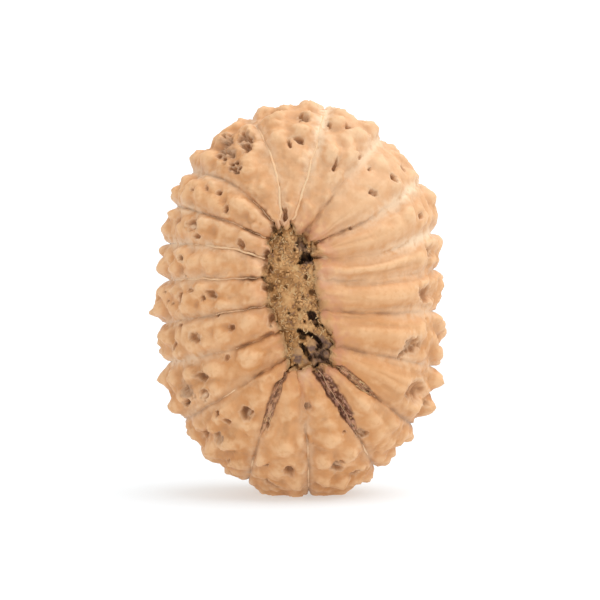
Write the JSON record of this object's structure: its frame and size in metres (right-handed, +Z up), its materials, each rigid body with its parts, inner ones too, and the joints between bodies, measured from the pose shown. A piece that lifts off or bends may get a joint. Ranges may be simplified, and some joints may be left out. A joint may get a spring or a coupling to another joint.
{
  "type": "rudraksha seed",
  "caption": "Dried oval rudraksha seed with ribs running from pole to pole, knobbed and pitted along the rim, standing on a small flat spot on its narrow end.",
  "frame": {"origin": "middle of the seed's box, on the surface that it stands on", "axes": "+Z up along the oval's long way, +Y from the front pole to the back pole, +X to the right as seen from the front"},
  "size_m": [0.0268, 0.0195, 0.036],
  "materials": {
    "seed_shell": "dry, slightly waxy orange-tan stone wood, with pale seams, brown pits and an olive-tan corky pith at each pole"
  },
  "bodies": {
    "root": {"rudraksha_seed": "seed_shell"}
  },
  "joints": []
}
